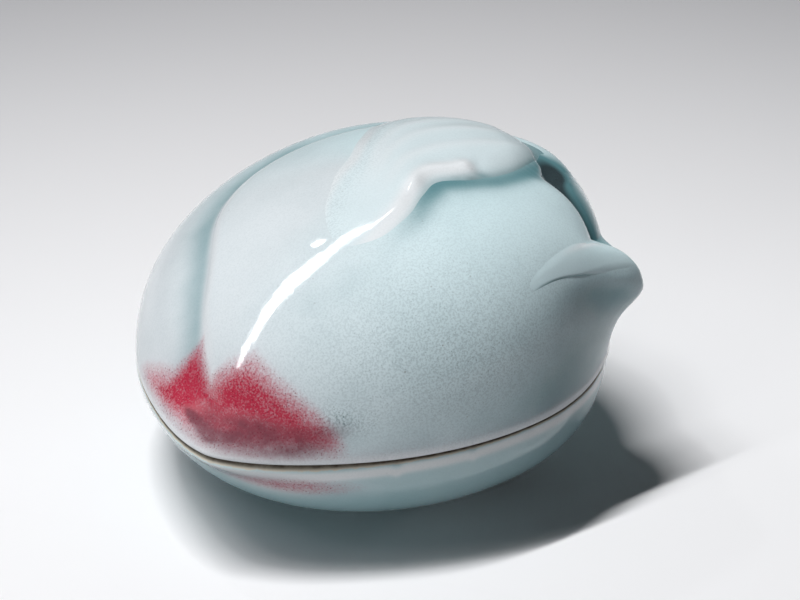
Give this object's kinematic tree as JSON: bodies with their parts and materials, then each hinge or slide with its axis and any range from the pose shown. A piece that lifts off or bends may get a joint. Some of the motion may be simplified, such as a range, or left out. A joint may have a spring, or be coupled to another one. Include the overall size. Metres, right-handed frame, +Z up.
{
  "type": "incense box",
  "caption": "Peach-shaped porcelain incense box: a hollow lid with a leaf and a stalk in relief lifts off a shallow base with an upright collar.",
  "frame": {"origin": "centre of the flat foot, on the table", "axes": "+X from the pointed tip of the peach towards its back, +Y towards the far lobe, +Z up"},
  "size_m": [0.0775, 0.0735, 0.0512],
  "materials": {
    "base_glaze": "glossy pale blue-green celadon glaze with a faint pink band below the tip; unglazed buff rim, collar and foot",
    "lid_glaze": "glossy pale blue-green celadon glaze with fine grey specks and a copper-red blush at the tip; unglazed buff rim",
    "leaf_glaze": "glossy celadon glaze, whiter on the raised edge and deeper in the veins",
    "stalk_glaze": "glossy celadon glaze, whiter on the rounded end"
  },
  "bodies": {
    "base": {"base": "base_glaze"},
    "lid": {"lid": "lid_glaze", "leaf": "leaf_glaze", "stalk": "stalk_glaze"}
  },
  "joints": [
    {"name": "lid_lift", "type": "slide", "parent": "base", "child": "lid", "axis": [0, 0, 1], "range_m": [0, 0.06]}
  ]
}
